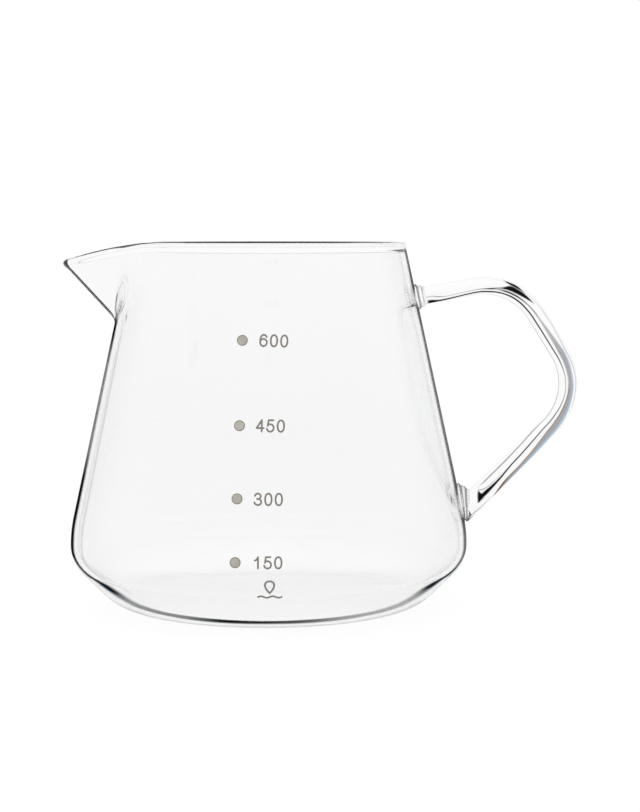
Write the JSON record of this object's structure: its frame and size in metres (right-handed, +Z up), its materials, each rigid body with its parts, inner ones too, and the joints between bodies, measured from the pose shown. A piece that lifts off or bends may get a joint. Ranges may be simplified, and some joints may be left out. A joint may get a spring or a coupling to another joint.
{
  "type": "coffee server carafe",
  "caption": "Clear glass coffee server: a flared blown body with a flat foot, a pulled V spout, a solid rod handle and a printed fill scale.",
  "frame": {"origin": "middle of the flat foot, on the body's axis, in the surface the server stands on", "axes": "+Z up along the body's axis, +X towards the handle, -X towards the spout, -Y towards the printed scale"},
  "size_m": [0.1484, 0.1148, 0.1046],
  "materials": {
    "clear_glass": "fire-polished clear borosilicate glass",
    "grey_enamel": "warm grey fired-on ceramic enamel, matt"
  },
  "bodies": {
    "root": {"glass_body": "clear_glass", "handle": "clear_glass", "upper_handle_weld": "clear_glass", "lower_handle_weld": "clear_glass", "scale_dots": "grey_enamel"}
  },
  "joints": []
}
